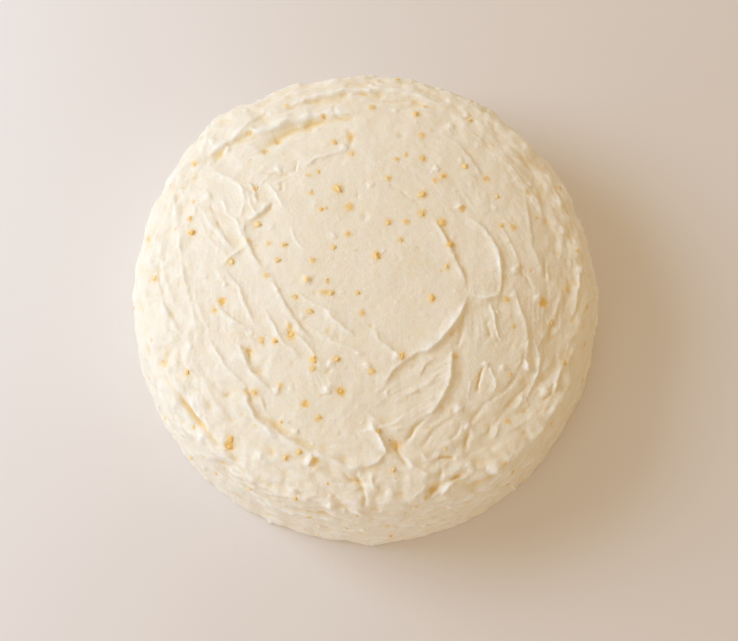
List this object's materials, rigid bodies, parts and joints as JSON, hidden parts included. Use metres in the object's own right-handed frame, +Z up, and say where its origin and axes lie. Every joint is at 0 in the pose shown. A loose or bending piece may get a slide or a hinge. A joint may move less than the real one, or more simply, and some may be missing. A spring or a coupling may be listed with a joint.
{
  "type": "mimosa cake",
  "caption": "Round whole layer cake spread all over with pale whipped cream in loose spatula strokes, with small bits of pineapple held in the cream.",
  "frame": {"origin": "on the cake's axis, in the plane of its flat base", "axes": "+Z up along the cake's axis, from the base to the crown of the top; -Y is the front, the side nearest to the viewer in the picture; +X is the right-hand side in the picture"},
  "size_m": [0.2528, 0.2529, 0.0802],
  "materials": {
    "whipped_cream": "soft satin whipped cream, spread with a spatula",
    "pineapple": "moist fruit bits under a thin film of cream"
  },
  "bodies": {
    "root": {"frosted_cake": "whipped_cream"}
  },
  "joints": []
}
